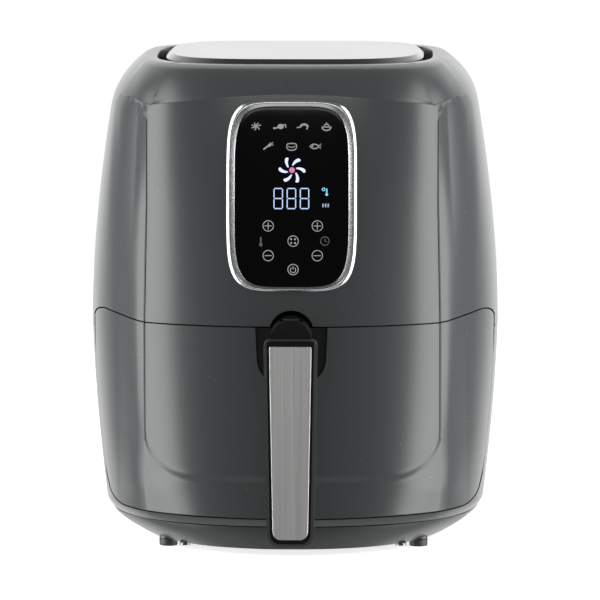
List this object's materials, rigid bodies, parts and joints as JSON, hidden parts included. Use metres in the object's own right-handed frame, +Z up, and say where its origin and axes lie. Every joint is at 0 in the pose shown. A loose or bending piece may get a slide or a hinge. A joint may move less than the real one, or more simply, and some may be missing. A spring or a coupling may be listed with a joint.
{
  "type": "air fryer",
  "caption": "Countertop air fryer with a pull-out drawer and basket, an upright handle, a touch panel in a bright ring and a hot-air fan above the basket.",
  "frame": {"origin": "centre of the whole footprint, handle included, at the underside of the feet", "axes": "+X to the right seen from the front, +Y to the back, +Z up; the handle faces -Y"},
  "size_m": [0.3048, 0.3628, 0.3634],
  "materials": {
    "body_plastic": "satin",
    "base_plastic": "matt",
    "black_plastic": "fine grain",
    "gloss_black": "polished",
    "bezel": "satin chrome",
    "panel_glass": "polished",
    "brushed_insert": "brushed",
    "rubber": "matt",
    "silicone": "matt",
    "nonstick": "non-stick, fine speckle",
    "galvanised": "mill finish",
    "steel": "bright",
    "element": "heat darkened",
    "aluminium": "plain",
    "lamination": "dull",
    "copper_winding": "varnished",
    "white_plastic": "plain",
    "board": "lacquered",
    "insulation": "plain",
    "screw": "zinc plated"
  },
  "bodies": {
    "housing": {"upper_housing": "body_plastic", "lower_housing": "body_plastic", "base_pan": "base_plastic", "rubber_feet": "rubber", "top_panel": "gloss_black", "vent_tray": "black_plastic", "front_frame": "black_plastic", "chamber_liner": "galvanised", "pan_guides": "black_plastic", "chamber_ceiling": "galvanised", "heater_hood": "galvanised", "heating_element": "element", "element_supports": "steel", "element_guard": "steel", "temperature_sensor": "steel", "thermal_cutout": "steel", "exhaust_duct": "galvanised", "rear_vent_grille": "black_plastic", "deck": "black_plastic", "motor_bracket": "galvanised", "motor_stator": "lamination", "motor_coil": "copper_winding", "motor_bearings": "steel", "display_board": "board", "display_parts": "white_plastic", "touch_springs": "steel", "display_carrier": "black_plastic", "panel_bezel": "bezel", "panel_glass": "panel_glass", "power_board": "board", "board_holder": "black_plastic", "power_parts": "black_plastic", "terminal_block": "white_plastic", "interlock_switch": "black_plastic", "cord_gland": "black_plastic", "wiring": "insulation", "base_screws": "screw", "motor_screws": "screw"},
    "drawer": {"drawer_front": "body_plastic", "pan": "nonstick", "pan_screws": "screw", "basket": "nonstick", "crisper_tray": "nonstick", "tray_bumpers": "silicone", "handle_bracket": "black_plastic", "handle_shell": "body_plastic", "handle_surround": "gloss_black", "handle_insert": "brushed_insert", "handle_screws": "screw", "pan_catch": "steel", "button_spring": "steel"},
    "fan": {"fan_shaft": "steel", "motor_rotor": "aluminium", "convection_fan": "aluminium", "fan_nut": "steel", "cooling_fan": "black_plastic"},
    "button": {"release_button": "black_plastic"},
    "bolt": {"latch_bolt": "black_plastic"},
    "guard": {"button_guard": "gloss_black"},
    "plunger": {"switch_plunger": "white_plastic"}
  },
  "joints": [
    {"name": "drawer_slide", "type": "slide", "parent": "housing", "child": "drawer", "axis": [0, -1, 0], "range_m": [0, 0.3]},
    {"name": "button_press", "type": "slide", "parent": "drawer", "child": "button", "axis": [0, 0, -1], "range_m": [0, 0.003], "stiffness_N_per_m": 300, "springref_m": -0.002, "deforming": ["button_spring"]},
    {"name": "bolt_slide", "type": "slide", "parent": "drawer", "child": "bolt", "axis": [0, -1, 0], "range_m": [0, 0.003]},
    {"name": "guard_slide", "type": "slide", "parent": "drawer", "child": "guard", "axis": [0, 1, 0], "range_m": [0, 0.02]},
    {"name": "fan_spin", "type": "hinge", "parent": "housing", "child": "fan", "pos_m": [0, 0.02362, 0.2426], "axis": [0, 0, 1], "continuous": true},
    {"name": "plunger_slide", "type": "slide", "parent": "housing", "child": "plunger", "axis": [0, -1, 0], "range_m": [0, 0.0018]}
  ],
  "couplings": [
    {"joint": "bolt_slide", "follows": "button_press", "ratio": 1},
    {"joint": "plunger_slide", "follows": "drawer_slide", "ratio": 0.006}
  ]
}
